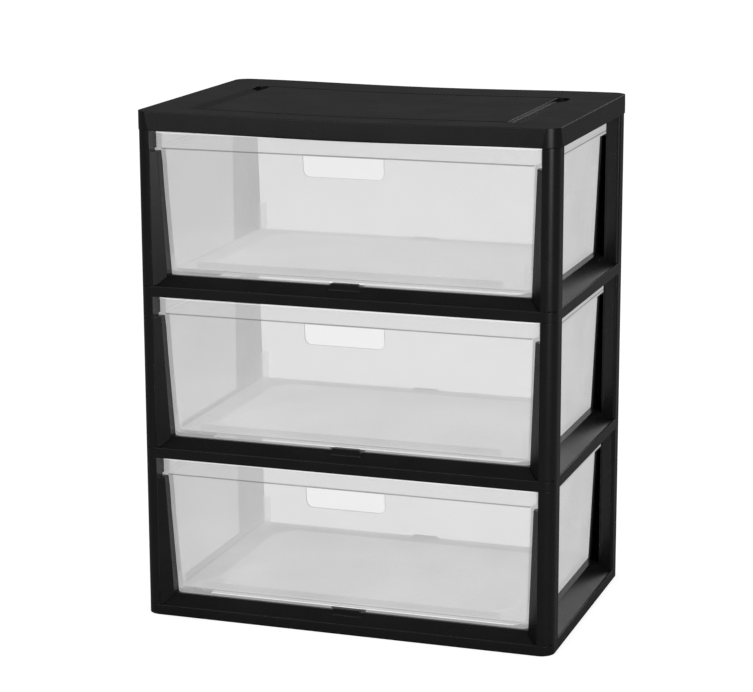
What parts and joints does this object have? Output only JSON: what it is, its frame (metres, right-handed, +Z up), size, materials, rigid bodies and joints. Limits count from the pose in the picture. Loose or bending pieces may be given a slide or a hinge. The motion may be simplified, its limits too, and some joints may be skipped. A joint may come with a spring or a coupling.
{
  "type": "stackable drawer box",
  "caption": "Stackable drawer box: clear sliding drawers with finger windows in a black knock-down frame of ring decks, corner posts and a sunk-top cap.",
  "frame": {"origin": "middle of the footprint, on the floor", "axes": "+Z up, -Y out of the drawer fronts, +X to the viewer's right"},
  "size_m": [0.56, 0.368, 0.671],
  "materials": {
    "black_frame": "fine satin moulded black",
    "clear_drawer": "clear moulded, slightly frosted by its thickness"
  },
  "bodies": {
    "frame": {"top_cap": "black_frame", "upper_deck": "black_frame", "middle_deck": "black_frame", "base_deck": "black_frame", "upper_front_left_post": "black_frame", "upper_front_right_post": "black_frame", "upper_back_left_post": "black_frame", "upper_back_right_post": "black_frame", "middle_front_left_post": "black_frame", "middle_front_right_post": "black_frame", "middle_back_left_post": "black_frame", "middle_back_right_post": "black_frame", "lower_front_left_post": "black_frame", "lower_front_right_post": "black_frame", "lower_back_left_post": "black_frame", "lower_back_right_post": "black_frame"},
    "upper_drawer": {"upper_drawer": "clear_drawer"},
    "middle_drawer": {"middle_drawer": "clear_drawer"},
    "lower_drawer": {"lower_drawer": "clear_drawer"}
  },
  "joints": [
    {"name": "upper_drawer_slide", "type": "slide", "parent": "frame", "child": "upper_drawer", "axis": [0, -1, 0], "range_m": [0, 0.28]},
    {"name": "middle_drawer_slide", "type": "slide", "parent": "frame", "child": "middle_drawer", "axis": [0, -1, 0], "range_m": [0, 0.28]},
    {"name": "lower_drawer_slide", "type": "slide", "parent": "frame", "child": "lower_drawer", "axis": [0, -1, 0], "range_m": [0, 0.28]}
  ]
}
